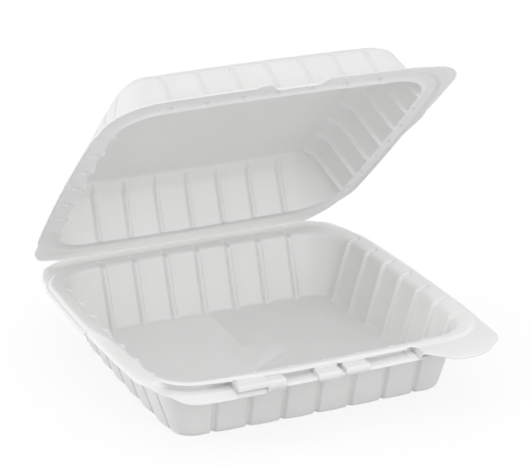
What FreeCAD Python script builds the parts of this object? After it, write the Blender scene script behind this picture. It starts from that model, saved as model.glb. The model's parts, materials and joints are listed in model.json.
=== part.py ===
import FreeCAD, Part
import math
import os

# Hinged takeout container, thermoformed from one sheet of plastic.
# Millimetres.  +X runs along the hinge, +Y to the hinge side, +Z up.
# The origin is on the underside of the tray's floor, in its middle.

V = FreeCAD.Vector
UP = V(0, 0, 1)

# ---- sheet ----
SHEET = 0.5                  # wall thickness after forming
RUNNING_GAP = 0.4            # air between the closed lid and the tray's rim
LIP_DROP = 1.1               # turned-down edge below a flange's underside
FAR = 400.0                  # beyond the whole container, for cutting blocks

# ---- crest of the tray's rim, seen from above: four bowed sides, round corners ----
HALF_WIDTH = 110.5
HALF_DEPTH = 110.0
CENTRE_Y = 0.5
SIDE_BOW = 4.0
CORNER_R = 36.0
FRONT_Y = CENTRE_Y - HALF_DEPTH

# ---- tray: heights of the underside of the sheet; "in" and "out" are from the crest ----
CREST_Z = 41.5
FLOOR_IN = 3 - CORNER_R      # where the bent wall hands over to the flat floor
FOOT_IN = -21.5
FOOT_BEVEL = 2.6
FOOT_BEVEL_RISE = 1.8
SHOULDER_IN = -9.0
SHOULDER_Z = CREST_Z - 1.5
FLANGE_Z = CREST_Z - 1.6
FLANGE_BEND_OUT = 2.0        # foot of the slope outside the crest
FLANGE_OUT = 20.0            # sheet before trimming
FLANGE_EDGE = 3.8            # trimmed flange on the sides
BEAD_OUT = 0.4               # the rim's bead hangs over a groove that holds the lid
BEAD_Z = CREST_Z - 0.3
GROOVE_IN = -1.8
GROOVE_TOP_Z = CREST_Z - 1.1
GROOVE_FOOT_Z = CREST_Z - 4.1
STEP_OUT = 0.4
STEP_Z = CREST_Z - 4.6
LEDGE_BEAD_OUT = 0.9
LEDGE_WALL_OUT = 0.1
LEDGE_FOOT_Z = CREST_Z - 5.3
LEDGE_Z = CREST_Z - 6.3
SKIRT_Z = CREST_Z - 8.9
SIDE_LIP_OUT = 1.5           # narrow rim along the front half of the left side
SIDE_LIP_Z = CREST_Z - 3.3
RIM_OUT = 4.6                # edge of the ledge and of the skirt
RIM_FLARE = 0.1              # how far their turned-down lips lean out

# ---- where the rim changes along its length ----
FLANGE_END_Y = 0.0           # left side: the flat flange stops, the narrow rim starts
SKIRT_START_TURN = 212.0     # front left corner: the narrow rim stops, the skirt starts
SKIRT_END_X = -41.0          # front: the low skirt stops, the ledge starts
TAB_START_X = HALF_WIDTH - 54.5

# ---- flutes pressed into the walls ----
FLUTES = 7                   # on each side
FLUTE_SPAN_X = HALF_WIDTH - 43.9     # middle of a front or back wall to its last flute
FLUTE_SPAN_Y = HALF_DEPTH - 36.8
FLUTE_WIDTH = 5.0            # at the mouth
FLUTE_BED = 2.8
FLUTE_DEPTH = 2.0
TRAY_FLUTE_TOP_Z = SHOULDER_Z - 1.0
FLUTE_OVERRUN = 3.0          # past the foot, so that a flute opens downwards

# ---- hinge ----
HINGE_Y = CENTRE_Y + HALF_DEPTH + 12.1
HINGE_HALF = HALF_WIDTH - 21.5
HINGE_SLOT = 0.3             # sheet edge to hinge axis
WEB = 0.3                    # thickness of the crease
WEB_SLIT = 0.02              # crease to the lid's edge, so that the lid turns freely
OPEN_ANGLE = 40.5
FLAP_START_Y = HALF_DEPTH - 50.0
FLAP_SIDE = 1.2              # the hinge flap stands this far outside the crest
FLANGE_CORNER_R = 28.0

# ---- lid, closed; heights of the underside of the sheet ----
LID_TOP_IN = 5 - CORNER_R
LID_CEILING_IN = 2.2 - CORNER_R    # where the bent wall hands over to the flat top
LID_SHOULDER_IN = -20.5
LID_RIM_IN = SHOULDER_IN - 0.2
LID_TOP_Z = CREST_Z + 33.5
LID_SHOULDER_Z = LID_TOP_Z - 6.5
LID_TOP_R = 4.5
LID_CREST_OUT = 0.8
LID_BEND_OUT = 3.2
LID_FRONT_Y = FRONT_Y - 10.3
LID_EDGE = 4.9
LID_RIGHT_CORNER_R = 42.0
LID_FLUTE_ABOVE_RIM = 1.4
LID_LIP_CLEAR_X = TAB_START_X - 6.0  # no lip right of here, where the tray's tab lies below

# ---- finger notch in the lid's front edge ----
MOUTH_LEFT_X = -14.5
MOUTH_RIGHT_X = 27.5
MOUTH_SLOPE = 7.0
MOUTH_R = 4.0
MOUTH_Y = FRONT_Y - 2.4

# ---- latches on the front of the tray ----
# each: first X, last X, lowest Z, highest Z
LATCHES = [(-60.0, -41.4, CREST_Z - 4.9, CREST_Z - 1.3),
           (-41.4, -31.0, CREST_Z - 8.3, CREST_Z - 1.3),
           (-10.0, 4.3, CREST_Z - 8.5, CREST_Z - 2.9),
           (7.6, 22.5, CREST_Z - 7.5, CREST_Z - 2.3)]
LATCH_FRONT_Y = FRONT_Y - 6.1
LATCH_R = 1.2
LATCH_BACK_Y = FRONT_Y + 1.6 # a latch's hollow opens into the space under the rim
LATCH_UNDERCUT = 2.5         # and this far below the latch
HOLE = (TAB_START_X - 5.5, TAB_START_X - 0.5, CREST_Z - 4.3, CREST_Z - 2.1)

FLANGE_TOP_Z = FLANGE_Z + SHEET
RISE = SHEET + RUNNING_GAP   # from a tray surface to the lid surface that lies over it
LID_FLANGE_Z = FLANGE_Z + RISE
HINGE_Z = FLANGE_TOP_Z + RUNNING_GAP / 2


# ---------------------------------------------------------------- rim outline

def corner_centre():
    """Centre of a corner arc that meets both bowed sides smoothly."""
    rx = (HALF_DEPTH ** 2 + SIDE_BOW ** 2) / (2 * SIDE_BOW)
    ry = (HALF_WIDTH ** 2 + SIDE_BOW ** 2) / (2 * SIDE_BOW)
    ax = HALF_WIDTH - rx
    by = HALF_DEPTH - ry
    ra = rx - CORNER_R
    rb = ry - CORNER_R
    gap = math.hypot(ax, by)
    along = (ra ** 2 - rb ** 2 + gap ** 2) / (2 * gap)
    off = math.sqrt(ra ** 2 - along ** 2)
    ux, uy = -ax / gap, by / gap
    one = (ax + along * ux - off * uy, along * uy + off * ux)
    two = (ax + along * ux + off * uy, along * uy - off * ux)
    return rx, ry, (one if one[0] + one[1] > two[0] + two[1] else two)


SIDE_R, END_R, (CORNER_X, CORNER_Y) = corner_centre()
SIDE_ANGLE = math.degrees(math.atan2(CORNER_Y, CORNER_X - HALF_WIDTH + SIDE_R))
END_ANGLE = math.degrees(math.atan2(CORNER_Y - HALF_DEPTH + END_R, CORNER_X))

# name: (centre x, centre y, radius of the crest line, first angle, last angle)
ARCS = {
    "right": (HALF_WIDTH - SIDE_R, CENTRE_Y, SIDE_R, -SIDE_ANGLE, SIDE_ANGLE),
    "back_right": (CORNER_X, CENTRE_Y + CORNER_Y, CORNER_R, SIDE_ANGLE, END_ANGLE),
    "back": (0, CENTRE_Y + HALF_DEPTH - END_R, END_R, END_ANGLE, 180 - END_ANGLE),
    "back_left": (-CORNER_X, CENTRE_Y + CORNER_Y, CORNER_R, 180 - END_ANGLE, 180 - SIDE_ANGLE),
    "left": (SIDE_R - HALF_WIDTH, CENTRE_Y, SIDE_R, 180 - SIDE_ANGLE, 180 + SIDE_ANGLE),
    "front_left": (-CORNER_X, CENTRE_Y - CORNER_Y, CORNER_R, 180 + SIDE_ANGLE, 180 + END_ANGLE),
    "front": (0, CENTRE_Y - HALF_DEPTH + END_R, END_R, 180 + END_ANGLE, 360 - END_ANGLE),
    "front_right": (CORNER_X, CENTRE_Y - CORNER_Y, CORNER_R, 360 - END_ANGLE, 360 - SIDE_ANGLE),
}


def on_outline(arc, angle, offset, z):
    """A point beside the crest line, at an angle about the centre of its arc."""
    cx, cy, radius = ARCS[arc][:3]
    a = math.radians(angle)
    reach = radius + offset
    return V(cx + reach * math.cos(a), cy + reach * math.sin(a), z)


def angle_at(arc, along):
    """Angle on a bowed side for an X (front, back) or a Y (left, right)."""
    if arc == "front":
        return 270 + math.degrees(math.asin(along / END_R))
    if arc == "back":
        return 90 - math.degrees(math.asin(along / END_R))
    turn = math.degrees(math.asin((along - CENTRE_Y) / SIDE_R))
    return turn if arc == "right" else 180 - turn


def outline_face(offset, z):
    """Flat face inside the rim outline moved in or out."""
    edges = []
    for arc, (cx, cy, radius, first, last) in ARCS.items():
        middle = (first + last) / 2
        ends = [on_outline(arc, a, offset, z) for a in (first, middle, last)]
        edges.append(Part.Arc(*ends).toShape())
    return Part.Face(Part.Wire(edges))


# ------------------------------------------------------------- bent sheet tools

def bend(points, radii, shift):
    """Edges of a path with rounded bends, moved to its left by a distance."""
    vectors = [V(x, 0, z) for x, z in points]
    steps = [(b - a).normalize() for a, b in zip(vectors, vectors[1:])]
    lefts = [V(-s.z, 0, s.x) for s in steps]
    edges = []
    start = vectors[0] + lefts[0] * shift
    for i, corner in enumerate(vectors[1:-1], 1):
        before, after = steps[i - 1], steps[i]
        turn = math.acos(max(-1, min(1, before.dot(after))))
        radius = radii.get(i, 0)
        way = 1 if before.x * after.z - before.z * after.x > 0 else -1
        back = radius * math.tan(turn / 2)
        if radius:
            centre = corner - before * back + lefts[i - 1] * (way * radius)
            reach = radius - way * shift
            enter = centre - lefts[i - 1] * (way * reach)
            leave = centre - lefts[i] * (way * reach)
            half = (lefts[i - 1] + lefts[i]).normalize()
            middle = centre - half * (way * reach)
            edges.append(Part.makeLine(start, enter))
            edges.append(Part.Arc(enter, middle, leave).toShape())
            start = leave
        else:
            half = (lefts[i - 1] + lefts[i]).normalize()
            meet = corner + half * (shift / math.cos(turn / 2))
            edges.append(Part.makeLine(start, meet))
            start = meet
    edges.append(Part.makeLine(start, vectors[-1] + lefts[-1] * shift))
    return edges


def strip_face(points, radii):
    """Cross-section of a bent sheet whose underside follows the path."""
    under = bend(points, radii, 0)
    over = bend(points, radii, SHEET)
    first = Part.makeLine(under[0].Vertexes[0].Point, over[0].Vertexes[0].Point)
    last = Part.makeLine(under[-1].Vertexes[-1].Point, over[-1].Vertexes[-1].Point)
    loop = Part.Wire(Part.__sortEdges__(under + [last] + over + [first]))
    return Part.Face(loop)


def inside_face(points, radii, shift):
    """Everything between a bent wall and a corner above or below its start."""
    wall = bend(points, radii, shift)
    first = wall[0].Vertexes[0].Point
    last = wall[-1].Vertexes[-1].Point
    corner = V(first.x, 0, last.z)
    rest = [Part.makeLine(last, corner), Part.makeLine(corner, first)]
    return Part.Face(Part.Wire(Part.__sortEdges__(wall + rest)))


def swing(face, arc, first, last):
    """Carry a cross-section along part of an arc of the rim."""
    cx, cy, radius = ARCS[arc][:3]
    start = face.copy()
    start.translate(V(radius, 0, 0))
    start.rotate(V(0, 0, 0), UP, first)
    start.translate(V(cx, cy, 0))
    return start.revolve(V(cx, cy, 0), UP, last - first)


def carry(face, arc):
    return swing(face, arc, ARCS[arc][3], ARCS[arc][4])


def polygon(points, radii, z):
    """Closed outline in plan with rounded corners."""
    count = len(points)
    edges = []
    tangents = []
    for i in range(count):
        p = V(points[i][0], points[i][1], z)
        a = (V(points[i - 1][0], points[i - 1][1], z) - p).normalize()
        q = points[(i + 1) % count]
        b = (V(q[0], q[1], z) - p).normalize()
        half = math.acos(max(-1, min(1, a.dot(b)))) / 2
        radius = radii[i]
        back = radius / math.tan(half)
        deep = radius / math.sin(half) - radius
        middle = p + (a + b).normalize() * deep if radius else p
        tangents.append((p + a * back, middle, p + b * back))
    for i in range(count):
        enter, middle, leave = tangents[i]
        if radii[i]:
            edges.append(Part.Arc(enter, middle, leave).toShape())
        following = tangents[(i + 1) % count][0]
        if leave.distanceToPoint(following) > 1e-6:
            edges.append(Part.makeLine(leave, following))
    return Part.Face(Part.Wire(edges))


def box(x0, x1, y0, y1, z0, z1):
    return Part.makeBox(x1 - x0, y1 - y0, z1 - z0, V(x0, y0, z0))


def joined(shapes):
    whole = shapes[0].fuse(shapes[1:])
    return whole.removeSplitter()


# ------------------------------------------------------------------- flutes

def flute_positions(arc):
    span = FLUTE_SPAN_X if arc in ("front", "back") else FLUTE_SPAN_Y
    return [span * (2 * i / (FLUTES - 1) - 1) for i in range(FLUTES)]


def flute_section(extra):
    """Half-widths and depth of a flute, or of the rib its sheet makes inside."""
    slant = math.atan2((FLUTE_WIDTH - FLUTE_BED) / 2, FLUTE_DEPTH)
    mouth = FLUTE_WIDTH / 2 + extra / math.cos(slant) + math.tan(slant)
    bed = FLUTE_BED / 2 + extra / math.cos(slant) - extra * math.tan(slant)
    return [(-mouth, 1), (mouth, 1), (bed, -FLUTE_DEPTH - extra), (-bed, -FLUTE_DEPTH - extra)]


def flutes(arc, foot, top, lift, extra):
    """Seven flutes along a side; foot and top are (offset, height) on the wall."""
    cutters = []
    for along in flute_positions(arc):
        angle = angle_at(arc, along)
        low = on_outline(arc, angle, *foot)
        way = on_outline(arc, angle, *top) - low
        length = way.Length + extra
        way.normalize()
        side = V(-math.sin(math.radians(angle)), math.cos(math.radians(angle)), 0)
        out = side.cross(way)
        if out.dot(on_outline(arc, angle, 1, 0) - on_outline(arc, angle, 0, 0)) < 0:
            out = -out
        ring = [low + side * t + out * (n + lift) for t, n in flute_section(extra)]
        face = Part.Face(Part.makePolygon(ring + ring[:1]))
        cutters.append(face.extrude(way * length))
    return cutters


def flute_walls(body, inside, foot, top, lift):
    """Press flutes into the four walls of a bent sheet."""
    names = list(ARCS)
    rooms = [carry(inside, arc) for arc in names]
    ribs = []
    grooves = []
    for i, arc in enumerate(names):
        if arc in ("front", "right", "back", "left"):
            wide = flutes(arc, foot, top, lift, SHEET)
            beside = rooms[i].fuse([rooms[i - 1], rooms[(i + 1) % len(names)]])
            ribs += [wide[0].common(beside), wide[-1].common(beside)]
            ribs += [rib.common(rooms[i]) for rib in wide[1:-1]]
            grooves += flutes(arc, foot, top, lift, 0)
    return body.fuse(ribs).cut(grooves)


def wall_offset(low, high, z):
    """Offset from the crest line of a straight wall at a height."""
    share = (z - low[1]) / (high[1] - low[1])
    return low[0] + (high[0] - low[0]) * share


# --------------------------------------------------------------------- tray

FOOT = (FOOT_IN, 0)
SHOULDER = (SHOULDER_IN, SHOULDER_Z)
BEVEL_TOP = (wall_offset(FOOT, SHOULDER, FOOT_BEVEL_RISE), FOOT_BEVEL_RISE)
INNER_WALL = [(FLOOR_IN, 0), (FOOT_IN - FOOT_BEVEL, 0), BEVEL_TOP, SHOULDER]
WALL = INNER_WALL + [(0, CREST_Z)]
FLANGE_PATH = WALL + [(FLANGE_BEND_OUT, FLANGE_Z), (FLANGE_OUT, FLANGE_Z)]
LEDGE_BEAD = (LEDGE_BEAD_OUT, CREST_Z - 0.6)
LEDGE_TOP = (LEDGE_WALL_OUT, GROOVE_TOP_Z - 0.5)
LEDGE_FOOT = (LEDGE_WALL_OUT, LEDGE_FOOT_Z)
LEDGE_PATH = WALL + [LEDGE_BEAD, LEDGE_TOP, LEDGE_FOOT, (RIM_OUT, LEDGE_Z),
                     (RIM_OUT + RIM_FLARE, LEDGE_Z - LIP_DROP)]
BEAD = (BEAD_OUT, BEAD_Z)
GROOVE = [(GROOVE_IN, GROOVE_TOP_Z), (GROOVE_IN, GROOVE_FOOT_Z), (STEP_OUT, STEP_Z)]
SKIRT_PATH = WALL + [BEAD] + GROOVE + [(RIM_OUT, SKIRT_Z), (RIM_OUT + RIM_FLARE, SKIRT_Z - LIP_DROP)]
SIDE_PATH = WALL + [LEDGE_BEAD, (SIDE_LIP_OUT, SIDE_LIP_Z)]
HINGE_EDGE_Y = HINGE_Y - HINGE_SLOT


def end_plate(arc, angle, points):
    """Upright wall that closes the rim where its section changes."""
    loop = Part.makePolygon([V(x, 0, z) for x, z in points + points[:1]])
    turn = math.degrees(SHEET / ARCS[arc][2])
    return swing(Part.Face(loop), arc, angle, angle + turn)


def tray_shell():
    """Floor, walls and the four kinds of rim."""
    flange = strip_face(FLANGE_PATH, {})
    side = strip_face(SIDE_PATH, {})
    skirt = strip_face(SKIRT_PATH, {})
    ledge = strip_face(LEDGE_PATH, {})
    left_split = angle_at("left", FLANGE_END_Y)
    front_split = angle_at("front", SKIRT_END_X)
    pieces = [outline_face(FLOOR_IN, 0).extrude(V(0, 0, SHEET))]
    for arc in ("front_right", "right", "back_right", "back", "back_left"):
        pieces.append(carry(flange, arc))
    pieces.append(swing(flange, "left", ARCS["left"][3], left_split))
    pieces.append(swing(side, "left", left_split, ARCS["left"][4]))
    pieces.append(swing(side, "front_left", ARCS["front_left"][3], SKIRT_START_TURN))
    pieces.append(swing(skirt, "front_left", SKIRT_START_TURN, ARCS["front_left"][4]))
    pieces.append(swing(skirt, "front", ARCS["front"][3], front_split))
    pieces.append(swing(ledge, "front", front_split, ARCS["front"][4]))
    outside = [(SIDE_LIP_OUT + SHEET, SIDE_LIP_Z), (LEDGE_BEAD_OUT + SHEET, LEDGE_BEAD[1])]
    closed_groove = [LEDGE_BEAD] + GROOVE + outside
    pieces.append(end_plate("front_left", SKIRT_START_TURN, closed_groove))
    closed_ledge = [LEDGE_FOOT, LEDGE_TOP, (FLANGE_EDGE, FLANGE_TOP_Z), (RIM_OUT, LEDGE_Z)]
    pieces.append(end_plate("front_right", ARCS["front_right"][3], closed_ledge))
    return joined(pieces)


def merged(faces):
    """One flat face from overlapping flat faces."""
    whole = faces[0].fuse(faces[1:]).removeSplitter()
    if len(whole.Faces) != 1:
        raise ValueError("the flange outline is in pieces")
    return whole.Faces[0]


def hinge_flap(z, width, left_r, right_r):
    """Flat flange out to the hinge edge, with its two free corners rounded."""
    outline = [(-width, FLAP_START_Y), (width, FLAP_START_Y), (width, HINGE_EDGE_Y), (-width, HINGE_EDGE_Y)]
    return polygon(outline, [0, 0, right_r, left_r], z)


def tab_face(z):
    """Corner tab for pulling the lid and tray apart."""
    x, right, front = TAB_START_X, HALF_WIDTH, FRONT_Y
    tab = [(x, front + 19.5), (x, front - 6), (x + 16.5, front - 23.5), (right - 20, front - 22.5),
           (right - 1, front - 4), (right + 2.5, front + 47.5), (right - 10.5, front + 47.5)]
    return polygon(tab, [0, 1.5, 6, 22, 12, 0, 0], z)


def skirt_outline(z):
    """The skirt grows out of the narrow rim as it rounds the front left corner."""
    left, end, front = -HALF_WIDTH, SKIRT_END_X + 3, FRONT_Y
    plan = [(left + 2.6, front + 39.5), (left + 4.7, front + 17), (left + 27, front - 5),
            (end, front - 8.5), (end, front + 39.5)]
    return polygon(plan, [0, 20, 30, 0, 0], z)


def tray_outline(z):
    flap = hinge_flap(z, HALF_WIDTH + FLAP_SIDE, FLANGE_CORNER_R, FLANGE_CORNER_R)
    return merged([outline_face(FLANGE_EDGE, z), flap, tab_face(z)])


def trimmed(body, outline, z):
    """Cut a flange, whose underside lies at a height, to its outline."""
    slab = box(-FAR, FAR, -FAR, FAR, z - LIP_DROP, z + 2 * SHEET)
    keep = outline.extrude(V(0, 0, 2 * LIP_DROP + 3 * SHEET))
    keep.translate(V(0, 0, -2 * LIP_DROP))
    return body.cut(slab.cut(keep))


def trimmed_skirt(body):
    low, high = SKIRT_Z - 2 * LIP_DROP, STEP_Z + 0.2
    corner = box(-FAR, SKIRT_END_X, -FAR, FRONT_Y + 39.5, low, high)
    keep = skirt_outline(low - 1).extrude(V(0, 0, high - low + 2))
    return body.cut(corner.cut(keep))


def below_flange(x0, x1, y0, y1):
    """Block that keeps a stretch of the edge free of its lip."""
    return box(x0, x1, y0, y1, FLANGE_Z - 5, FLANGE_Z + 5)


def turned_lip(outline, spared):
    """Narrow lip under the trimmed edge of a flange."""
    ring = outline.cut(outline.makeOffset2D(-SHEET))
    return ring.extrude(V(0, 0, -LIP_DROP)).cut(spared)


def latch(x0, x1, z0, z1):
    """Hollow box pressed out of the front of the rim, open underneath."""
    outer = box(x0, x1, LATCH_FRONT_Y, LATCH_BACK_Y, z0, z1)
    front = [e for e in outer.Edges if e.BoundBox.YMax < LATCH_FRONT_Y + 0.01 and e.BoundBox.ZMin > z1 - 0.01]
    outer = outer.makeFillet(LATCH_R, front)
    hollow = box(x0 + SHEET, x1 - SHEET, LATCH_FRONT_Y + SHEET, LATCH_BACK_Y + SHEET,
                 z0 - LATCH_UNDERCUT, z1 - SHEET)
    return outer, hollow


def make_tray():
    body = tray_shell()
    low, high = -FLUTE_OVERRUN, TRAY_FLUTE_TOP_Z
    foot = (wall_offset(FOOT, SHOULDER, low), low)
    top = (wall_offset(FOOT, SHOULDER, high), high)
    body = flute_walls(body, inside_face(INNER_WALL, {}, 0), foot, top, 0)
    outline = tray_outline(FLANGE_Z)
    body = trimmed_skirt(trimmed(body, outline, FLANGE_Z))
    crest = outline_face(SHEET, FLANGE_Z - SHEET).extrude(V(0, 0, 3 * SHEET))
    plate = tab_face(FLANGE_Z).extrude(V(0, 0, SHEET)).cut(crest)
    spared = [below_flange(-FAR, 0, -FAR, FLANGE_END_Y - SHEET),
              below_flange(-FAR, TAB_START_X, -FAR, FRONT_Y / 2),
              below_flange(-HINGE_HALF - 1, HINGE_HALF + 1, HALF_DEPTH, FAR)]
    body = body.fuse([plate] + turned_lip(outline, spared).Solids)
    hollows = [box(HOLE[0], HOLE[1], LATCH_FRONT_Y, LATCH_BACK_Y, HOLE[2], HOLE[3])]
    for x0, x1, z0, z1 in LATCHES:
        outer, hollow = latch(x0, x1, z0, z1)
        body = body.fuse(outer)
        hollows.append(hollow)
    return body.cut(hollows).removeSplitter()


# ---------------------------------------------------------------------- lid

LID_RIM = (LID_RIM_IN, SHOULDER_Z + RISE)
LID_SHOULDER = (LID_SHOULDER_IN, LID_SHOULDER_Z)
LID_WALL = [(LID_CEILING_IN, LID_TOP_Z), (LID_TOP_IN, LID_TOP_Z), LID_SHOULDER, LID_RIM]
LID_PATH = LID_WALL + [(LID_CREST_OUT, CREST_Z + RISE + 0.1), (LID_BEND_OUT, LID_FLANGE_Z),
                       (FLANGE_OUT, LID_FLANGE_Z)]
LID_BENDS = {1: LID_TOP_R}


def lid_outline(z):
    """Trimmed edge of the lid: hinge flap, wide front with free corners, finger notch."""
    right, front, edge = HALF_WIDTH, FRONT_Y, LID_FRONT_Y
    ahead = [(-right + 0.5, front + 79.5), (-right - 3.3, front + 79.5), (-right + 1, edge + 1),
             (MOUTH_LEFT_X - 1.5, edge - 0.8), (right - 32.5, edge + 2.6), (right + 7, front - 0.8),
             (right + 5.9, front + 49.5), (right + 4.3, front + 89.5), (right - 10.5, front + 89.5)]
    corners = [0, 0, 33, 0, 60, 25, 100, 0, 0]
    flap = hinge_flap(z, HALF_WIDTH + FLAP_SIDE + 1, FLANGE_CORNER_R, LID_RIGHT_CORNER_R)
    whole = merged([outline_face(LID_EDGE, z), flap, polygon(ahead, corners, z)])
    far = edge - 6
    mouth = [(MOUTH_LEFT_X, far), (MOUTH_LEFT_X + MOUTH_SLOPE, MOUTH_Y),
             (MOUTH_RIGHT_X - MOUTH_SLOPE, MOUTH_Y), (MOUTH_RIGHT_X, far)]
    return whole.cut(polygon(mouth, [0, MOUTH_R, MOUTH_R, 0], z)).Faces[0]


def lid_shell():
    section = strip_face(LID_PATH, LID_BENDS)
    pieces = [carry(section, arc) for arc in ARCS]
    pieces.append(outline_face(LID_CEILING_IN, LID_TOP_Z).extrude(V(0, 0, SHEET)))
    return joined(pieces)


def make_lid():
    """The lid as it lies when closed."""
    body = lid_shell()
    high = LID_SHOULDER_Z + FLUTE_OVERRUN
    low = LID_RIM[1] + LID_FLUTE_ABOVE_RIM
    foot = (wall_offset(LID_SHOULDER, LID_RIM, high), high)
    top = (wall_offset(LID_SHOULDER, LID_RIM, low), low)
    body = flute_walls(body, inside_face(LID_WALL, LID_BENDS, SHEET), foot, top, SHEET)
    outline = lid_outline(LID_FLANGE_Z)
    body = trimmed(body, outline, LID_FLANGE_Z)
    spared = [below_flange(MOUTH_LEFT_X - 2.5, MOUTH_RIGHT_X + 2.5, -FAR, 0),
              below_flange(LID_LIP_CLEAR_X, FAR, -FAR, FRONT_Y / 2),
              below_flange(-FAR, 0, HALF_DEPTH - 15, FAR),
              below_flange(0, FAR, HALF_DEPTH - 50, FAR)]
    return body.fuse(turned_lip(outline, spared).Solids).removeSplitter()


# -------------------------------------------------------------------- hinge

def opened(shape):
    turned = shape.copy()
    turned.rotate(V(0, HINGE_Y, HINGE_Z), V(1, 0, 0), -OPEN_ANGLE)
    return turned


def make_web():
    """Thin crease of the same sheet, bent round the hinge line."""
    half = RUNNING_GAP / 2
    end = V(-HINGE_HALF, HINGE_Y, HINGE_Z)
    inner = Part.makeCylinder(half, 2 * HINGE_HALF, end, V(1, 0, 0))
    outer = Part.makeCylinder(half + WEB, 2 * HINGE_HALF, end, V(1, 0, 0))
    front = box(-FAR, FAR, HINGE_Y - 1, HINGE_Y, HINGE_Z - 1, HINGE_Z + 1)
    bent = outer.cut(inner).cut([front, opened(front)])
    under, over = HINGE_Z - half, HINGE_Z + half
    tray_strap = box(-HINGE_HALF, HINGE_HALF, HINGE_EDGE_Y, HINGE_Y, under - WEB, under)
    lid_strap = box(-HINGE_HALF, HINGE_HALF, HINGE_EDGE_Y + WEB_SLIT, HINGE_Y, over, over + WEB)
    return joined([bent, tray_strap, opened(lid_strap)])


os.makedirs("parts", exist_ok=True)
nodes = {"tray": make_tray(), "lid": opened(make_lid()), "hinge_web": make_web()}
for name, shape in nodes.items():
    shape.exportStep("parts/" + name + ".step")
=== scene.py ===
import json
import math

import bmesh
import bpy
from mathutils import Matrix, Vector


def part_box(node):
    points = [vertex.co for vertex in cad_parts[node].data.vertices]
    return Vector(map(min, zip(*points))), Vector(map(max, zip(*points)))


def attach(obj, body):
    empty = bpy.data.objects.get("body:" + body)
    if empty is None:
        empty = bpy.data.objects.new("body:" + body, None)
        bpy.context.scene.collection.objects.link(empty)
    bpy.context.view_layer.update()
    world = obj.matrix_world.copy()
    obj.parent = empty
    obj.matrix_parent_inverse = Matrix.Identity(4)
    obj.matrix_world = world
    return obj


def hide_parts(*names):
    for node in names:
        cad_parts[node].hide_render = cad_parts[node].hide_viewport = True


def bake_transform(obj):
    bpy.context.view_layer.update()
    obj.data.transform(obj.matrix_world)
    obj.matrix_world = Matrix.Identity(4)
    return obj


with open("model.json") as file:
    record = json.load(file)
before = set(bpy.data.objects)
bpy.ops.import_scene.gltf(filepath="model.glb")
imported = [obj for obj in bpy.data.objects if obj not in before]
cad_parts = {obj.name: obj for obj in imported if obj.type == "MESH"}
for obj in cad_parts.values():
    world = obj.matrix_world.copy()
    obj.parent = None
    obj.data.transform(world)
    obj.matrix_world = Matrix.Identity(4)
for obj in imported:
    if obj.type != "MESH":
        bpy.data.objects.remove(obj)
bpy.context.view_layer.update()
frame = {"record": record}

# The container is one formed sheet: a tray, a lid and the crease between them.
# Shapes are worked out in millimetres with the lid shut, and scaled to metres when a piece is finished.
# A point of a wall or a rim is an offset outwards from the rim's outline and a height.
MM = 0.001
SHEET = 0.5
PI = math.pi

# ---- outline of the rim in plan: four bowed sides and round corners ----
HALF_WIDTH = 110.5
HALF_DEPTH = 110.0
CENTRE_Y = 0.5
SIDE_BOW = 4.0
CORNER_R = 36.0

# ---- flutes: one in the middle of each side and three to each side of it ----
FLUTES_BESIDE = 3
PITCH_X = 22.2
PITCH_Y = 24.4
FLUTE_DEPTH = 2.4
FLUTE_FLAT = 0.5
FLUTE_MOUTH = 2.3

# ---- the panels between the flutes stand out a little ----
CROWN = 0.55
CROWN_RUN = 7.5

# ---- where the sheet is cut into faces ----
FLUTE_CUTS = (0.4, 0.8, 1.2, 1.6, 2.1, 3.0, 4.2)
PANEL_SHARES = (0.3, 0.43, 0.57, 0.7)
CORNER_END_SHARES = (0, 0.02, 0.04, 0.06, 0.085, 0.11, 0.14)
CORNER_RUNS = 24
PLAN_RUNS = 8
CAP_SHARES = (0.3, 0.55, 0.8)
BREAK_HALF = 0.18
SHARP_TURN = 50

# ---- hinge ----
hinge = frame["record"]["behaviour"]["joints"][0]
HINGE_Y = hinge["pos_m"][1] / MM
HINGE_Z = hinge["pos_m"][2] / MM
OPEN_ANGLE = -hinge["range_deg"][0]
HINGE_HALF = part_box("hinge_web")[1].x / MM
BACK_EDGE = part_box("hinge_web")[0].y / MM


# ------------------------------------------------------------------ outline

def corner_centre():
    """Radii of the bowed sides and the centre of a corner that meets both."""
    side_r = (HALF_DEPTH ** 2 + SIDE_BOW ** 2) / (2 * SIDE_BOW)
    end_r = (HALF_WIDTH ** 2 + SIDE_BOW ** 2) / (2 * SIDE_BOW)
    side_x, end_y = HALF_WIDTH - side_r, HALF_DEPTH - end_r
    from_side, from_end = side_r - CORNER_R, end_r - CORNER_R
    apart = math.hypot(side_x, end_y)
    along = (from_side ** 2 - from_end ** 2 + apart ** 2) / (2 * apart)
    off = math.sqrt(from_side ** 2 - along ** 2)
    way_x, way_y = -side_x / apart, end_y / apart
    one = (side_x + along * way_x - off * way_y, along * way_y + off * way_x)
    two = (side_x + along * way_x + off * way_y, along * way_y - off * way_x)
    return side_r, end_r, max(one, two, key=sum)


SIDE_R, END_R, (CORNER_X, CORNER_Y) = corner_centre()
SIDE_TURN = math.atan2(CORNER_Y, CORNER_X - HALF_WIDTH + SIDE_R)
END_TURN = math.atan2(CORNER_Y - HALF_DEPTH + END_R, CORNER_X)

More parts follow.
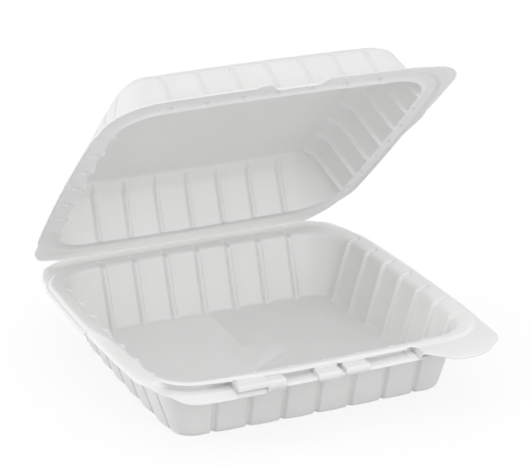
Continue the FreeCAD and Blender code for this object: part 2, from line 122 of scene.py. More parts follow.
# name: (centre x, centre y, radius, first angle, last angle, flute pitch)
ARCS = {
    "right": (HALF_WIDTH - SIDE_R, CENTRE_Y, SIDE_R, -SIDE_TURN, SIDE_TURN, PITCH_Y),
    "back_right": (CORNER_X, CENTRE_Y + CORNER_Y, CORNER_R, SIDE_TURN, END_TURN, 0),
    "back": (0, CENTRE_Y + HALF_DEPTH - END_R, END_R, END_TURN, PI - END_TURN, PITCH_X),
    "back_left": (-CORNER_X, CENTRE_Y + CORNER_Y, CORNER_R, PI - END_TURN, PI - SIDE_TURN, 0),
    "left": (SIDE_R - HALF_WIDTH, CENTRE_Y, SIDE_R, PI - SIDE_TURN, PI + SIDE_TURN, PITCH_Y),
    "front_left": (-CORNER_X, CENTRE_Y - CORNER_Y, CORNER_R, PI + SIDE_TURN, PI + END_TURN, 0),
    "front": (0, CENTRE_Y - HALF_DEPTH + END_R, END_R, PI + END_TURN, 2 * PI - END_TURN, PITCH_X),
    "front_right": (CORNER_X, CENTRE_Y - CORNER_Y, CORNER_R, 2 * PI - END_TURN, 2 * PI - SIDE_TURN, 0),
}


class Station:
    """One place on the rim's outline, with the way outwards and its flute."""

    def __init__(self, arc, angle):
        cx, cy, self.radius, self.first, self.last, self.pitch = ARCS[arc]
        self.arc = arc
        self.angle = angle
        self.out = Vector((math.cos(angle), math.sin(angle)))
        self.centre = Vector((cx, cy))
        self.crest = self.centre + self.out * self.radius

    def at(self, offset, z):
        """The point at an offset outwards and a height."""
        p = self.crest + self.out * offset
        return Vector((p.x, p.y, z))

    def from_flute(self, offset, shift=0):
        """Distance along the wall to the nearest flute's middle."""
        if self.pitch:
            place = (self.crest.x if self.arc in ("front", "back") else self.crest.y) - shift
            i = max(-FLUTES_BESIDE, min(FLUTES_BESIDE, round(place / self.pitch)))
            return abs(place - i * self.pitch)
        gaps = []
        for end in (self.first, self.last):
            edge = self.centre + Vector((math.cos(end), math.sin(end))) * self.radius
            if abs(math.cos(end)) > abs(math.sin(end)):
                start = abs(edge.y) - FLUTES_BESIDE * PITCH_Y
            else:
                start = abs(edge.x) - FLUTES_BESIDE * PITCH_X
            gaps.append(start + (self.radius + offset) * abs(self.angle - end))
        return min(gaps)


def side_places(arc, breaks, singles):
    """Places along a bowed side, close together at flutes and in pairs where the rim's edge steps."""
    pitch = ARCS[arc][-1]
    places = []
    for i in range(-FLUTES_BESIDE, FLUTES_BESIDE + 1):
        places += [i * pitch + way * cut for way in (-1, 1) for cut in FLUTE_CUTS]
        places.append(i * pitch)
    for i in range(-FLUTES_BESIDE, FLUTES_BESIDE):
        places += [(i + share) * pitch for share in PANEL_SHARES]
    for x in singles:
        places = [p for p in places if abs(p - x) > 0.3] + [x]
    for x in breaks:
        places = [p for p in places if abs(p - x) > 0.5]
        places += [x - BREAK_HALF, x + BREAK_HALF]
    return sorted(places)


def stations(breaks, front_singles=()):
    """All stations round the rim, anticlockwise from the right side's front."""
    found = []
    for arc, (cx, cy, radius, first, last, pitch) in ARCS.items():
        if pitch:
            singles = front_singles if arc == "front" else ()
            for place in side_places(arc, breaks.get(arc, ()), singles):
                if arc in ("front", "back"):
                    turn = math.asin(place / radius)
                    angle = 1.5 * PI + turn if arc == "front" else 0.5 * PI - turn
                else:
                    turn = math.asin((place - cy) / radius)
                    angle = turn if arc == "right" else PI - turn
                if first < angle < last:
                    found.append(Station(arc, angle))
        else:
            shares = list(CORNER_END_SHARES)
            shares += [0.18 + 0.64 * i / CORNER_RUNS for i in range(CORNER_RUNS + 1)]
            shares += [1 - share for share in reversed(CORNER_END_SHARES)]
            found += [Station(arc, first + (last - first) * share) for share in shares]
    order = list(ARCS)
    found.sort(key=lambda station: (order.index(station.arc), station.angle))
    return found


def rounded(points, radii):
    """A plan outline given by its corners, each rounded by short runs if it has a radius."""
    line = []
    count = len(points)
    for i, radius in enumerate(radii):
        corner = Vector(points[i])
        if not radius:
            line.append(corner)
            continue
        before = (Vector(points[i - 1]) - corner).normalized()
        after = (Vector(points[(i + 1) % count]) - corner).normalized()
        half = before.angle(after) / 2
        middle = corner + (before + after).normalized() * (radius / math.sin(half))
        enter = corner + before * (radius / math.tan(half)) - middle
        leave = corner + after * (radius / math.tan(half)) - middle
        first = math.atan2(enter.y, enter.x)
        sweep = math.atan2(enter.cross(leave), enter.dot(leave))
        for k in range(PLAN_RUNS + 1):
            angle = first + sweep * k / PLAN_RUNS
            line.append(middle + Vector((math.cos(angle), math.sin(angle))) * radius)
    return line


def hits(station, line):
    """Distances outwards from the outline at which a closed plan line is crossed."""
    found = []
    for start, end in zip(line, line[1:] + line[:1]):
        run = end - start
        cross = station.out.x * run.y - station.out.y * run.x
        if abs(cross) < 1e-9:
            continue
        gap = start - station.crest
        reach = (gap.x * run.y - gap.y * run.x) / cross
        share = (gap.x * station.out.y - gap.y * station.out.x) / cross
        if 0 <= share <= 1:
            found.append(reach)
    return found


def furthest(station, least, lines):
    """The furthest of the lines outwards from the outline, and no less than least."""
    return max([least] + [reach for line in lines for reach in hits(station, line)])


def smooth(x):
    """0 below 0, 1 above 1, and an even S between."""
    x = max(0.0, min(1.0, x))
    return x * x * (3 - 2 * x)


# ------------------------------------------------------------ bent sections

def soften(path):
    """Rows of a section, (offset, height, bend, cuts), become points on round bends."""
    points = []
    for i, (d, z, bend, cuts) in enumerate(path):
        here = Vector((d, z))
        if not cuts:
            points.append(here)
            continue
        before = Vector(path[i - 1][:2]) - here
        after = Vector(path[i + 1][:2]) - here
        first = here + before * min(0.48, bend / max(before.length, 1e-6))
        last = here + after * min(0.48, bend / max(after.length, 1e-6))
        for k in range(cuts + 1):
            t = k / cuts
            points.append(first * (1 - t) ** 2 + here * 2 * t * (1 - t) + last * t * t)
    return points


def mixed(one, two, share):
    """A rim between two rims."""
    return [(a[0] + (b[0] - a[0]) * share, a[1] + (b[1] - a[1]) * share) for a, b in zip(one, two)]


DEEP_DRAWN = 0.2
FLUTES_END = -9


def wear_and_highlight(station, point, rows_left, inset):
    """How much a place is whitened, as handling wear and as a painted highlight: the crest, the trimmed
    edge and the flutes' backs.
    """
    crest = smooth(1 - abs(point.x + inset) / 2.2)
    trim = smooth((4 - rows_left) / 3)
    back = 0.55 * smooth((1.6 - station.from_flute(point.x)) / 1.4) if point.x < FLUTES_END else 0
    return max(0.8 * crest, trim, back)


def drawn_thin(station, point):
    """How far the sheet is drawn out or pressed thin: deep walls a little, by the crease most."""
    wall = DEEP_DRAWN * smooth((-8 - point.x) / 5)
    spot = station.at(point.x, 0)
    by_crease = smooth((spot.y - 107) / 9) * smooth((HINGE_HALF + 14 - abs(spot.x)) / 10)
    return max(wall, 0.8 * by_crease)


def next_ring(bm, ring):
    """Extrude a ring of points outwards and give the new points in the same order."""
    order = {vert: i for i, vert in enumerate(ring)}
    edges = [edge for edge in bm.edges if edge.verts[0] in order and edge.verts[1] in order]
    grown = bmesh.ops.extrude_edge_only(bm, edges=edges)["geom"]
    following = [None] * len(ring)
    for vert in (part for part in grown if isinstance(part, bmesh.types.BMVert)):
        for edge in vert.link_edges:
            other = edge.other_vert(vert)
            if other in order:
                following[order[other]] = vert
    return following


def formed_shell(places, section, move, inset):
    """Underside of a sheet, grown ring by ring from its flat middle to the trimmed edge.

    Section gives the path outwards at a station, move puts each of its points in place, and
    inset tells how far inside the outline the crest stands.
    """
    paths = [soften(section(station)) for station in places]
    columns = [[move(station, point) for point in path] for station, path in zip(places, paths)]
    middle = Vector((0, CENTRE_Y, columns[0][0].z))
    rings = [[(middle + (column[0] - middle) * share, 0, DEEP_DRAWN) for column in columns]
             for share in CAP_SHARES]
    count = len(paths[0])
    for i in range(count):
        rings.append([(column[i], wear_and_highlight(station, path[i], count - i, inset(station)),
                       drawn_thin(station, path[i]))
                      for station, path, column in zip(places, paths, columns)])
    bm = bmesh.new()
    # one layer for the whiter crests and edges (handling wear and painted highlight), one for how thinned
    # the sheet is
    rub_and_highlight = bm.verts.layers.float.new("rub_and_highlight")
    thinned = bm.verts.layers.float.new("thinned")
    ring = list(bmesh.ops.create_circle(bm, cap_ends=True, segments=len(places), radius=1)["verts"])
    if ring[1].co.x * ring[0].co.y - ring[1].co.y * ring[0].co.x > 0:
        ring = [ring[0]] + ring[:0:-1]
    for i, made in enumerate(rings):
        if i:
            ring = next_ring(bm, ring)
        for vert, (co, rub_highlight, pull) in zip(ring, made):
            vert.co = co
            vert[rub_and_highlight], vert[thinned] = rub_highlight, pull
    bmesh.ops.recalc_face_normals(bm, faces=bm.faces)
    middle_face = min(bm.faces, key=lambda face: face.calc_center_median().xy.length)
    if middle_face.normal.z < 0:
        bmesh.ops.reverse_faces(bm, faces=bm.faces)
    return bm


def as_mesh(name, bm):
    """The shape as a mesh; the bmesh is done with."""
    mesh = bpy.data.meshes.new(name)
    bm.to_mesh(mesh)
    bm.free()
    return mesh


def placed(name, data):
    """A new object in the scene."""
    thing = bpy.data.objects.new(name, data)
    bpy.context.scene.collection.objects.link(thing)
    return thing


def finished(name, bm, node, angle):
    """Scale to metres, shade smooth up to the given turn, and put the piece in its node's place."""
    bmesh.ops.scale(bm, vec=(MM, MM, MM), verts=bm.verts)
    for face in bm.faces:
        face.smooth = True
    mesh = as_mesh(name, bm)
    mesh.set_sharp_from_angle(angle=math.radians(angle))
    piece = placed(name, mesh)
    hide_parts(node)
    return piece


def thicken(piece, thickness, towards):
    """Give the sheet its thickness: 1 grows it along its normals, 0 to both sides."""
    wall = piece.modifiers.new("sheet", "SOLIDIFY")
    wall.thickness = thickness * MM
    wall.offset = towards


# --------------------------------------------------------------------- tray

FLOOR_EDGE = -24.2
FOOT_IN = -21.5
SHOULDER_IN = -9.0
SHOULDER_Z = 40.0
CREST_Z = 41.5
FLANGE_Z = 39.9
FLANGE_EDGE = 3.8
LEDGE_Z = 35.2
RIM_REACH = 4.6
LIP = 1.1
LIP_LEAN = 0.1
LIP_SET_IN = 0.12
GROOVE_BACK = -8.6
FLANGE_END_Y = 0.0
TAB_START_X = 56.0
LATCH_FRONT_Y = -115.6
LEFT_FLUTES_DEEPER = 1.35
# how much a flute goes in and up, square to the sloping wall
TRAY_PRESS = (0.955, 0.29)
# a nick in line with a flute: where it begins and ends, its depth, and how far to the side it lies
TRAY_NICK = (-9.6, -2.0, 1.3, 0)
TAB_LEDGE_RUN = 17.5

# ---- how far inside the outline the bead stands, and where round the corner it comes out again ----
LEFT_INSET = 8.2
CORNER_INSET = 5.8
FRONT_INSET = 2.0
CORNER_FROM = 196

back_flap = rounded([(-110.2, 50), (110.2, 50), (109.6, 96), (102.5, 115), (90, BACK_EDGE),
                     (-90, BACK_EDGE), (-102.5, 115), (-109.6, 96)],
                    [0, 0, 26, 16, 5, 5, 16, 26])
tab_line = rounded([(TAB_START_X, -90), (TAB_START_X, -115.5), (72.5, -133), (90.5, -132),
                    (109.5, -113.5), (113, -62), (100, -62)],
                   [0, 1.5, 6, 22, 12, 0, 0])

# latches on the front: first x, last x, top, bottom, and where the top starts outside the outline
LATCHES = [(-41.4, -31.0, 40.1, 33.4, 1.0), (-10.0, 4.3, 38.5, 33.2, 0.1), (7.6, 22.5, 39.1, 34.0, 0.1)]
TONGUE = (-60.0, LATCHES[0][0])
POCKET = (50.5, 55.5)

# the skirt comes out in three stretches of the corner: first angle, last angle, how far
SKIRT_STEPS = ((205, 225, 1.0), (225, 243, 2.1), (243, 251, 0.5))

# a rim is six (offset, height) points, from the bead's outside to the trimmed edge
SIDE_RIM = [(0.9, 40.9), (1.05, 40.5), (1.15, 40.0), (1.25, 39.4), (1.4, 38.8), (1.5, 38.2)]
SLOPED_RIM = [(-4.6, 40.35), (-1.6, 39.9), (0.2, 39.5), (0.9, 39.1), (1.35, 38.7), (1.5, 38.2)]
LEDGE_EDGE = [(RIM_REACH, LEDGE_Z), (RIM_REACH + LIP_LEAN, LEDGE_Z - LIP)]
LEDGE_RIM = [(-0.8, 40.1), (-5.0, 39.4), (-5.0, 36.3), (2.6, 35.7)] + LEDGE_EDGE
POCKET_RIM = [(-1.4, 40.7), (-5.0, 39.8), (-5.0, 37.0), (0.6, 36.3)] + LEDGE_EDGE


def inset_share(station):
    """How far the rim slopes in: more and more along the left side's front half, none past the corner."""
    if station.arc == "left":
        return smooth((14 - station.crest.y) / 60)
    if station.arc == "front_left":
        return 1 - smooth((math.degrees(station.angle) - CORNER_FROM) / 62)
    return 0


def bead_inset(station):
    """How far inside the outline the bead stands."""
    turn = math.degrees(station.angle)
    if station.arc == "left":
        return LEFT_INSET * inset_share(station)
    if station.arc == "front_left":
        return LEFT_INSET + (CORNER_INSET - LEFT_INSET) * smooth((turn - CORNER_FROM) / 48)
    if station.arc == "front":
        return CORNER_INSET + (FRONT_INSET - CORNER_INSET) * smooth((station.crest.x + 85) / 50)
    if station.arc == "front_right":
        return FRONT_INSET * (1 - smooth((turn - 274) / 26))
    return 0


def flat_rim(station):
    """A flat flange that droops along the sides; its edge turns down except by the crease."""
    x, y = station.crest
    edge = furthest(station, FLANGE_EDGE, [back_flap, tab_line]) - SHEET - LIP_SET_IN
    droop = 0.3 * smooth((104 - y) / 24) * smooth((y + 60) / 20)
    rows = [(d, FLANGE_Z - droop * (d - 2)) for d in (2.0, 2.3, 2.7, edge * 0.5 + 1.5)]
    if station.arc == "back" or (y > 100 and abs(x) < HINGE_HALF):
        edge += SHEET + LIP_SET_IN
        return rows + [(edge - 1, FLANGE_Z), (edge, FLANGE_Z)]
    low = FLANGE_Z - droop * (edge - 2)
    return rows + [(edge, low), (edge + LIP_LEAN, low - LIP)]


def skirt_rim(turn, inset):
    """The skirt reaches out and down more and more round the corner."""
    reach = 1.0
    for first, last, more in SKIRT_STEPS:
        reach += more * max(0, min(1, (turn - first) / (last - first)))
    low = 36.9 - (reach - 0.4) * 1.02
    start = min(1.0, reach - 0.3) - 0.2 * inset
    groove = [(1.4 - inset, 39.9), (GROOVE_BACK + 0.4, 39.2), (GROOVE_BACK, 35.9)]
    return groove + [(start, max(low + 0.25, 35.4)), (reach, low),
                     (reach + LIP_LEAN, low - LIP * smooth((turn - 235) / 15))]


def front_rim(station):
    """Along the front: the skirt and its tongue, the latches on the ledge, the pocket beside the tab."""
    x, y = station.crest
    inset = bead_inset(station)
    if x < TONGUE[0]:
        return skirt_rim(math.degrees(station.angle), inset)
    reach = y - LATCH_FRONT_Y - SHEET
    for first, last, top, bottom, start in LATCHES:
        if first < x < last:
            top -= SHEET
            return [(0.8 - inset, 40.8), (0.5 - inset, top - 0.1), (start - 0.3, top - 0.2),
                    (reach - 0.5, top - 0.1), (reach, top - 0.6), (reach + LIP_LEAN, bottom)]
    if TONGUE[0] < x < TONGUE[1]:
        return [(0.6 - inset, 39.9), (reach, 39.6), (reach + LIP_LEAN, 36.8),
                (1.0, 36.3), (3.2, 33.9), (RIM_REACH + LIP_LEAN, 31.6)]
    if POCKET[0] < x < POCKET[1]:
        return POCKET_RIM
    return LEDGE_RIM


def tray_rim(station):
    """Six (offset, height) points: side bead, skirt, front or flat flange."""
    x, y = station.crest
    side = mixed(SIDE_RIM, SLOPED_RIM, inset_share(station))
    if station.arc == "left" and y < FLANGE_END_Y:
        return side
    if station.arc == "front_left":
        turn = math.degrees(station.angle)
        return mixed(side, skirt_rim(turn, bead_inset(station)), smooth((turn - 206) / 14))
    if station.arc == "front" and x < TAB_START_X:
        return front_rim(station)
    return flat_rim(station)


def tray_section(station):
    """Floor, foot, wall, shoulder, bead and rim."""
    path = [(-34, 0, 0, 0), (-29, 0, 0, 0), (-26, 0, 0, 0), (FOOT_IN, 0, 2.5, 5)]
    for z in (4.5, 9, 15, 21, 27, 31, 34):
        path.append((FOOT_IN + (SHOULDER_IN - FOOT_IN) * z / SHOULDER_Z, z, 0, 0))
    path.append((SHOULDER_IN, SHOULDER_Z, 3.6, 9))
    crest = -bead_inset(station)
    top = CREST_Z - smooth((-3.5 - crest) / 3.7)
    path += [(SHOULDER_IN + (crest - SHOULDER_IN) * t, SHOULDER_Z + (top - SHOULDER_Z) * t, 0, 0)
             for t in (0.49, 0.58, 0.67, 0.76)]
    path.append((crest, top, 0.9, 3))
    rim = tray_rim(station)
    path += [(d, z, 0.5, 2) for d, z in rim[:-1]]
    return path + [(*rim[-1], 0, 0)]


def press(station, offset, strength, crown_strength):
    """How far in a wall's point goes: the flute's depth less the panel's crown."""
    away = station.from_flute(offset)
    flute = smooth((FLUTE_MOUTH - away) / (FLUTE_MOUTH - FLUTE_FLAT))
    panel = smooth((away - FLUTE_MOUTH) / CROWN_RUN)
    return FLUTE_DEPTH * flute * strength - CROWN * panel * crown_strength


def nick(station, offset, inner, outer, depth, shift):
    """Short groove across the rim in line with each flute."""
    if not station.pitch:
        return 0
    along = smooth((offset - inner) / 1.2) * smooth((outer - offset) / 1.0)
    return depth * along * smooth((2.2 - station.from_flute(offset, shift)) / 1.8)


def tray_point(station, point):
    """Press the flutes into the floor's edge and the walls, and nick the shelf in line with them."""
    d, z = point
    inset = bead_inset(station)
    if d < FLOOR_EDGE:
        share = smooth((d + 30) / 6)
        d -= press(station, d, share, share)
    elif d < -5.6 and z > 0 or z < 1:
        # flutes end lower where the bead stands in at the wall
        near = min(1, inset / 4)
        deep = press(station, d, smooth((-6.4 - 2.4 * near - d) / (2.4 - 1.3 * near)), smooth((39 - z) / 6))
        if station.arc == "left":
            deep *= LEFT_FLUTES_DEEPER
        d -= deep * TRAY_PRESS[0]
        z += deep * TRAY_PRESS[1] * smooth(z / 8) * smooth((39.9 - z) / 3)
    if station.arc != "left" and (not inset or z > SHOULDER_Z + (d - SHOULDER_IN) / 6):
        inner, outer, depth, shift = TRAY_NICK
        z -= nick(station, d, inner, outer - inset, depth, shift)
    return station.at(d, z)


def tab_ledge(bm):
    """The ledge runs on for a little under the opening tab."""
    rows = [(-0.3, 39.2), (0.1, 38.2), (0.1, 37.0), (0.4, 36.3), (1.4, 35.9), (2.8, 35.6), (4.4, 35.3),
            (4.65, 35.0), (4.7, 34.1)]
    made = bmesh.ops.create_grid(bm, x_segments=26, y_segments=len(rows) - 1, size=0.5)["verts"]
    for vert in made:
        along = vert.co.x + 0.5
        d, z = rows[round((vert.co.y + 0.5) * (len(rows) - 1))]
        turn = 1.5 * PI + math.asin((TAB_START_X - 0.3 + along * TAB_LEDGE_RUN) / END_R)
        shrink = smooth((1 - along) / 0.12)
        vert.co = Station("front", turn).at(0.1 + (d - 0.1) * shrink, z)
    faces = list({face for vert in made for face in vert.link_faces})
    bmesh.ops.recalc_face_normals(bm, faces=faces)
    if sum(face.normal.y for face in faces) > 0:
        bmesh.ops.reverse_faces(bm, faces=faces)


latch_ends = {x for latch in LATCHES for x in latch[:2]}
front_steps = sorted(latch_ends | {*TONGUE, POCKET[0], (POCKET[1] + TAB_START_X) / 2})
tray_breaks = {"front": front_steps, "left": [FLANGE_END_Y]}
tray_mesh = formed_shell(stations(tray_breaks), tray_section, tray_point, bead_inset)
tab_ledge(tray_mesh)
tray = finished("tray_shell", tray_mesh, "tray", SHARP_TURN)
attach(tray, "base")
thicken(tray, SHEET, 1)

# ---------------------------------------------------------------------- lid

LID_FLANGE_Z = 40.8
LID_TOP_Z = 75.0
LID_TOP_IN = -31.0
LID_SHOULDER = (-20.5, 68.5)
LID_RIM = (-9.2, 40.9)
LID_CREST = (0.8, 42.5)
LID_EDGE = 4.9
LID_FRONT_SHALLOW = 0.55
# how much a flute goes in and down
LID_PRESS = (0.93, 0.36)
LID_NICK = (-7.8, -3.0, 1.8, 0)
LID_FRONT_SHIFT = -5.0
LID_FRONT_NICK = (-7.8, -3.0, 3.0, LID_FRONT_SHIFT)
DENT_CUTS = (-1.9, -1.1, -0.4, 0.4, 1.1, 1.9)
NOTCH_X = (-14.5, -7.5, 20.5, 27.5)
NOTCH_Y = (-126, -111.9, -111.9, -126)

lid_flap = rounded([(-111.6, 50), (111.6, 50), (109.6, 82), (101, 105), (90, BACK_EDGE),
                    (-90, BACK_EDGE), (-105, 116.5), (-110.6, 102)],
                   [0, 0, 30, 16, 3, 5, 11, 16])
lid_front = rounded([(-110, -30), (-113.8, -30), (-109.5, -118.8), (-16, -120.6), (78, -117.2),
                     (117.5, -110.3), (116.4, -60), (113.4, -11), (100, -11)],
                    [0, 0, 33, 0, 60, 25, 100, 0, 0])
finger_notch = rounded(list(zip(NOTCH_X, NOTCH_Y)), [0, 4, 4, 0])


def right_rear(station):
    """On the right the lid's edge draws in and lifts a little towards the back."""
    return smooth((station.crest.y + 45) / 40) if station.crest.x > 0 else 0


def lip_share(station):
    """The lid's turned-down lip fades away at the back, on the right, round the notch and over the tab."""
    x, y = station.crest
    share = smooth((88 - y) / 14)
    if x > 0:
        share *= smooth((58 - y) / 16) * max(smooth((34 - x) / 8 - 0.5), smooth((y + 52) / 14))
    if station.arc == "front":
        share *= max(smooth((-18 - x) / 6), smooth((x - 31) / 4) * smooth((48 - x) / 5))
    elif x > 40:
        share *= smooth((y + 52) / 14)
    return share * (1 - right_rear(station))


def lid_rim(station):
    """Three (offset, height) points: the flange, its edge and the foot of the lip."""
    y = station.crest.y
    far = right_rear(station)
    edge = furthest(station, LID_EDGE - 2.2 * far, [lid_flap, lid_front])
    bitten = [reach for reach in hits(station, finger_notch) if 0 < reach < edge]
    if bitten and station.arc == "front":
        edge = min(bitten)
    share = lip_share(station)
    edge -= SHEET * share + 0.45 * smooth((104 - y) / 10)
    lift = 0.55 * far * smooth((102 - y) / 16)
    low = LID_FLANGE_Z + 0.6 * lift
    return [(min(3.2, edge - 0.9), LID_FLANGE_Z + lift), (edge - 0.6 + 0.5 * share, low),
            (edge + LIP_LEAN * share, low - LIP * share)]


def lid_section(station):
    """Top, chamfer, wall, sloping flange and rim."""
    path = [(-34, LID_TOP_Z, 0, 0), (LID_TOP_IN, LID_TOP_Z, 2.2, 4)]
    slope = (LID_SHOULDER[1] - LID_TOP_Z) / (LID_SHOULDER[0] - LID_TOP_IN)
    path += [(d, round(LID_TOP_Z + slope * (d - LID_TOP_IN), 2), 0, 0) for d in (-27, -24.5, -22.8)]
    path.append((*LID_SHOULDER, 1.5, 4))
    for z in (65.5, 62, 57, 52, 48.5, 46.3, 45, 43.9, 42.6):
        share = (LID_SHOULDER[1] - z) / (LID_SHOULDER[1] - LID_RIM[1])
        path.append((LID_SHOULDER[0] + (LID_RIM[0] - LID_SHOULDER[0]) * share, z, 0, 0))
    path.append((*LID_RIM, 1.2, 4))
    path += [(d, LID_RIM[1] + 1.25 * smooth((d - LID_RIM[0]) / 4.2) + 0.06 * max(0, d + 5), 0, 0)
             for d in (-8.4, -7.6, -6.8, -6.0, -5.2, -4.2, -3.0)]
    path.append((*LID_CREST, 1.0, 3))
    rim = lid_rim(station)
    path += [(d, z, 0.7, 2) for d, z in rim[:-1]]
    return path + [(*rim[-1], 0, 0)]


def lid_point(station, point):
    """Press the flutes into the walls and dent the flange in line with them."""
    d, z = point
    if d < -7.4:
        strength = smooth((-7.8 - d) / 1.6) * smooth((74.9 - z) / 3.4)
        deep = press(station, d, strength, smooth((z - 42) / 5) * smooth((69.3 - z) / 4))
        if station.arc == "front":
            deep *= LID_FRONT_SHALLOW
        d -= deep * LID_PRESS[0]
        z -= deep * LID_PRESS[1] * smooth((z - 41.2) / 3)
    z += nick(station, d, *(LID_FRONT_NICK if station.arc == "front" else LID_NICK))
    return station.at(d, z)


dents = [i * PITCH_X + LID_FRONT_SHIFT + cut
         for i in range(-FLUTES_BESIDE, FLUTES_BESIDE + 1) for cut in DENT_CUTS]
lid_mesh = formed_shell(stations({"front": NOTCH_X}, dents), lid_section, lid_point, lambda station: 0)
bmesh.ops.rotate(lid_mesh, verts=lid_mesh.verts, cent=(0, HINGE_Y, HINGE_Z),
                 matrix=Matrix.Rotation(math.radians(-OPEN_ANGLE), 3, "X"))
lid = finished("lid_shell", lid_mesh, "lid", SHARP_TURN)
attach(lid, "cover")
thicken(lid, SHEET, 1)

# -------------------------------------------------------------------- crease

CREASE_SHEET = 0.3
FOLD_R = 0.35


def crease():
    """Thin round fold between the two back edges."""
    bm = bmesh.new()
    rub_and_highlight = bm.verts.layers.float.new("rub_and_highlight")
    thinned = bm.verts.layers.float.new("thinned")
    ends = [bm.verts.new((side * HINGE_HALF, HINGE_Y, HINGE_Z - FOLD_R)) for side in (-1, 1)]
    edge = bm.edges.new(ends)
    bmesh.ops.subdivide_edges(bm, edges=[edge], cuts=60)
    turn = math.radians(180 - OPEN_ANGLE)
    geom = list(bm.verts) + list(bm.edges)
    bmesh.ops.spin(bm, geom=geom, cent=(0, HINGE_Y, HINGE_Z), axis=(1, 0, 0), angle=turn, steps=10)
    for vert in bm.verts:
        # the whole crease gets the whiter edge colour as wear and painted highlight, and lets most light
        # through
        vert[rub_and_highlight], vert[thinned] = 0.8, 1.0
    bmesh.ops.recalc_face_normals(bm, faces=bm.faces)
    return bm


web = finished("hinge_crease", crease(), "hinge_web", 60)
thicken(web, CREASE_SHEET, 0)
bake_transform(web)

# ----------------------------------------------------------------- material

GRAIN, RIPPLE, DRAWN_MARKS, CLOUDS, FLECKS, STREAKS = 1400, 95, 55, 17, 520, 120
SHEET_WHITE = (0.865, 0.865, 0.86, 1)
CLOUD_WHITE = (0.9, 0.9, 0.896, 1)
# whiter colour of crests and edges: handling wear and painted highlight
WEAR_AND_HIGHLIGHT_WHITE = (0.945, 0.945, 0.94, 1)
LIGHT_THROUGH = (0.93, 0.93, 0.925, 1)


def feed(tree, socket, value):
    """Give a socket a plain value or another node's output."""
    if isinstance(value, bpy.types.NodeSocket):
        tree.links.new(value, socket)
    else:
        socket.default_value = value


def noise(tree, place, scale, detail, stretch=None):
    """Cloudy noise over the object, drawn out along the ways in which stretch is small."""
    texture = tree.nodes.new("ShaderNodeTexNoise")
    texture.inputs["Scale"].default_value = scale
    texture.inputs["Detail"].default_value = detail
    if stretch:
        turn = tree.nodes.new("ShaderNodeMapping")
        turn.inputs["Scale"].default_value = stretch
        tree.links.new(place, turn.inputs["Vector"])
        place = turn.outputs["Vector"]
    tree.links.new(place, texture.inputs["Vector"])
    return texture.outputs["Fac"]


def spread(tree, source, low, high, to_low, to_high):
    """Move the range low to high on to another range, and hold it there."""
    span = tree.nodes.new("ShaderNodeMapRange")
    for label, value in (("From Min", low), ("From Max", high), ("To Min", to_low), ("To Max", to_high)):
        span.inputs[label].default_value = value
    tree.links.new(source, span.inputs["Value"])
    return span.outputs["Result"]


def arithmetic(tree, kind, one, two):
    """Two values, or outputs of other nodes, put together by one operation."""
    node = tree.nodes.new("ShaderNodeMath")
    node.operation = kind
    for socket, value in zip(node.inputs, (one, two)):
        feed(tree, socket, value)
    return node.outputs["Value"]


def tinted(tree, share, one, two):
    """One colour where share is 0, the other where it is 1."""
    mix = tree.nodes.new("ShaderNodeMix")
    mix.data_type = "RGBA"
    for label, value in (("Factor", share), ("A", one), ("B", two)):
        feed(tree, mix.inputs[label], value)
    return mix.outputs["Result"]


def either(tree, share, one, two):
    """One shader where share is 0, the other where it is 1."""
    mix = tree.nodes.new("ShaderNodeMixShader")
    feed(tree, mix.inputs["Fac"], share)
    tree.links.new(one, mix.inputs[1])
    tree.links.new(two, mix.inputs[2])
    return mix.outputs[0]


def formed_surface():
    """Height, tone and rub marks of a sheet of filled plastic drawn over a mould."""
    group = bpy.data.node_groups.new("formed_surface", "ShaderNodeTree")
    for label in ("Height", "Tone", "Rub"):
        group.interface.new_socket(label, in_out="OUTPUT", socket_type="NodeSocketFloat")
    out = group.nodes.new("NodeGroupOutput").inputs
    place = group.nodes.new("ShaderNodeTexCoord").outputs["Object"]
    low = spread(group, noise(group, place, GRAIN, 4), 0.25, 0.75, 0, 0.16)
    wave = spread(group, noise(group, place, RIPPLE, 2), 0.2, 0.8, 0, 0.5)
    pull = spread(group, noise(group, place, DRAWN_MARKS, 3, (1, 1, 0.14)), 0.2, 0.8, 0, 0.34)
    height = arithmetic(group, "ADD", arithmetic(group, "ADD", low, wave), pull)
    group.links.new(height, out["Height"])
    thick = spread(group, noise(group, place, CLOUDS, 3), 0.3, 0.7, 0, 1)
    speck = spread(group, noise(group, place, FLECKS, 2), 0.62, 0.74, 0, 1)
    tone = arithmetic(group, "SUBTRACT", thick, arithmetic(group, "MULTIPLY", speck, 0.35))
    group.links.new(tone, out["Tone"])
    scuff = spread(group, noise(group, place, STREAKS, 5, (1, 0.12, 1)), 0.56, 0.72, 0, 1)
    group.links.new(scuff, out["Rub"])
    return group


def marked(tree, layer):
    """A mark that the points of the sheet carry: how much wear and painted highlight they get, or how
    thinned they are.
    """
    note = tree.nodes.new("ShaderNodeAttribute")
    note.attribute_name = layer
    return note.outputs["Fac"]


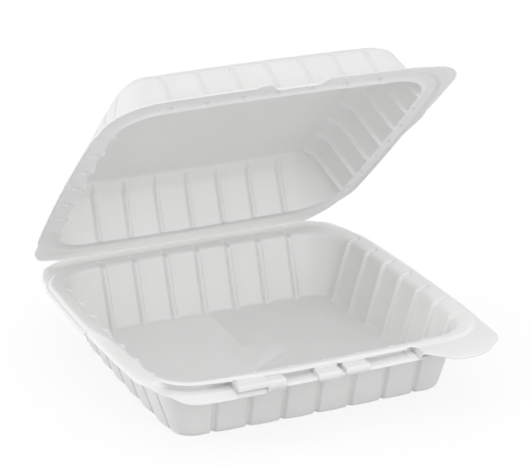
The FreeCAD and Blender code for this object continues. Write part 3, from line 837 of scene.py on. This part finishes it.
def formed_plastic():
    """Dull white filled plastic, lighter at crests and edges as handling wear and painted highlight, that
    lets light through where it is thin.
    """
    material = bpy.data.materials.new("formed_plastic")
    material.use_nodes = True
    tree = material.node_tree
    nodes, links = tree.nodes, tree.links
    shader = nodes["Principled BSDF"]
    shader.inputs["IOR"].default_value = 1.48
    shader.inputs["Specular IOR Level"].default_value = 0.45
    surface = nodes.new("ShaderNodeGroup")
    surface.node_tree = formed_surface()
    tone = surface.outputs["Tone"]
    # crests and edges are whiter and rougher: handling wear, with a painted highlight in the whiter colour
    patchy = spread(tree, surface.outputs["Rub"], 0, 1, 0.35, 1)
    edge = arithmetic(tree, "MULTIPLY", marked(tree, "rub_and_highlight"), patchy)
    body = tinted(tree, tone, SHEET_WHITE, CLOUD_WHITE)
    worn_and_highlighted = tinted(tree, arithmetic(tree, "MULTIPLY", edge, 0.9), body, WEAR_AND_HIGHLIGHT_WHITE)
    links.new(worn_and_highlighted, shader.inputs["Base Color"])
    plain_rough = spread(tree, tone, 0, 1, 0.36, 0.44)
    rough = arithmetic(tree, "ADD", plain_rough, arithmetic(tree, "MULTIPLY", edge, 0.18))
    links.new(rough, shader.inputs["Roughness"])
    bump = nodes.new("ShaderNodeBump")
    bump.inputs["Strength"].default_value = 0.5
    bump.inputs["Distance"].default_value = 0.00035
    links.new(surface.outputs["Height"], bump.inputs["Height"])
    links.new(bump.outputs["Normal"], shader.inputs["Normal"])
    # light comes through, most of all where the sheet is thin
    through = nodes.new("ShaderNodeBsdfTranslucent")
    through.inputs["Color"].default_value = LIGHT_THROUGH
    glow = spread(tree, marked(tree, "thinned"), 0, 1, 0.16, 0.84)
    sheet = either(tree, glow, shader.outputs[0], through.outputs[0])
    links.new(sheet, nodes["Material Output"].inputs["Surface"])
    return material


plastic = formed_plastic()
for piece in (tray, lid, web):
    piece.data.materials.append(plastic)

# -------------------------------------------------------------------- stage

FLOOR_BOUNCE = 0.7
FLOOR_SEEN = 0.93
FLOOR_WHITENED = 0.8
SKY_STRENGTH = 1.03
CAMERA_PLACE = (-0.4892, -1.1652, 0.5453)
CAMERA_TURNS = (-23.0605, 20.0201, -1.0795)
CAMERA_LENS = 147.62


def seen_by_eye(tree):
    """1 for what the camera sees straight, in a reflection or through a surface."""
    path = tree.nodes.new("ShaderNodeLightPath").outputs
    both = arithmetic(tree, "MAXIMUM", path["Is Camera Ray"], path["Is Glossy Ray"])
    return arithmetic(tree, "MAXIMUM", both, path["Is Transmission Ray"])


def floor():
    """White paper that throws less light up at the container than the eye sees on it."""
    bm = bmesh.new()
    bmesh.ops.create_grid(bm, x_segments=1, y_segments=1, size=6)
    ground = placed("studio_floor", as_mesh("studio_floor", bm))
    material = bpy.data.materials.new("studio_paper")
    material.use_nodes = True
    tree = material.node_tree
    paper = tree.nodes["Principled BSDF"]
    seen = tree.nodes.new("ShaderNodeBsdfPrincipled")
    for cover, tone in ((paper, FLOOR_BOUNCE), (seen, FLOOR_SEEN)):
        cover.inputs["Base Color"].default_value = (tone, tone, tone, 1)
        cover.inputs["Roughness"].default_value = 0.9
        cover.inputs["Specular IOR Level"].default_value = 0
    white = tree.nodes.new("ShaderNodeEmission")
    white.inputs["Strength"].default_value = 1
    faint = either(tree, FLOOR_WHITENED, seen.outputs[0], white.outputs[0])
    pick = either(tree, seen_by_eye(tree), paper.outputs[0], faint)
    tree.links.new(pick, tree.nodes["Material Output"].inputs["Surface"])
    ground.data.materials.append(material)


def studio():
    """A white background that lights a little more strongly than it looks."""
    world = bpy.data.worlds.new("studio")
    bpy.context.scene.world = world
    world.use_nodes = True
    tree = world.node_tree
    soft = tree.nodes["Background"]
    soft.inputs["Color"].default_value = (1, 1, 1, 1)
    soft.inputs["Strength"].default_value = SKY_STRENGTH
    white = tree.nodes.new("ShaderNodeBackground")
    white.inputs["Strength"].default_value = 1
    pick = either(tree, seen_by_eye(tree), soft.outputs[0], white.outputs[0])
    tree.links.new(pick, tree.nodes["World Output"].inputs["Surface"])


def lamp(name, place, target, size, power):
    """A square soft lamp that points at the target."""
    light = bpy.data.lights.new(name, "AREA")
    light.shape = "SQUARE"
    light.size = size
    light.energy = power
    holder = placed(name, light)
    holder.location = place
    way = Vector(target) - Vector(place)
    holder.rotation_euler = way.to_track_quat("-Z", "Y").to_euler()


def camera():
    """Three turns: round the container, down on to it, and about the line of sight."""
    data = bpy.data.cameras.new("camera")
    data.sensor_width = 36
    data.lens = CAMERA_LENS
    data.clip_end = 50
    yaw, pitch, roll = (math.radians(turn) for turn in CAMERA_TURNS)
    back = Vector((math.sin(yaw) * math.cos(pitch), -math.cos(yaw) * math.cos(pitch), math.sin(pitch)))
    right = (-back).cross(Vector((0, 0, 1))).normalized()
    up = right.cross(-back)
    side = right * math.cos(roll) + up * math.sin(roll)
    above = up * math.cos(roll) - right * math.sin(roll)
    turn = Matrix((side, above, back)).transposed().to_4x4()
    holder = placed("camera", data)
    holder.matrix_world = Matrix.Translation(CAMERA_PLACE) @ turn
    bpy.context.scene.camera = holder


floor()
studio()
lamp("front_soft", (0.15, -1.67, 0.94), (0, 0, 0.06), 0.9, 6)
lamp("left_low", (-1.5, 0.9, 0.25), (0, 0, 0.04), 0.4, 8)
camera()
bpy.context.scene.view_settings.view_transform = "Standard"
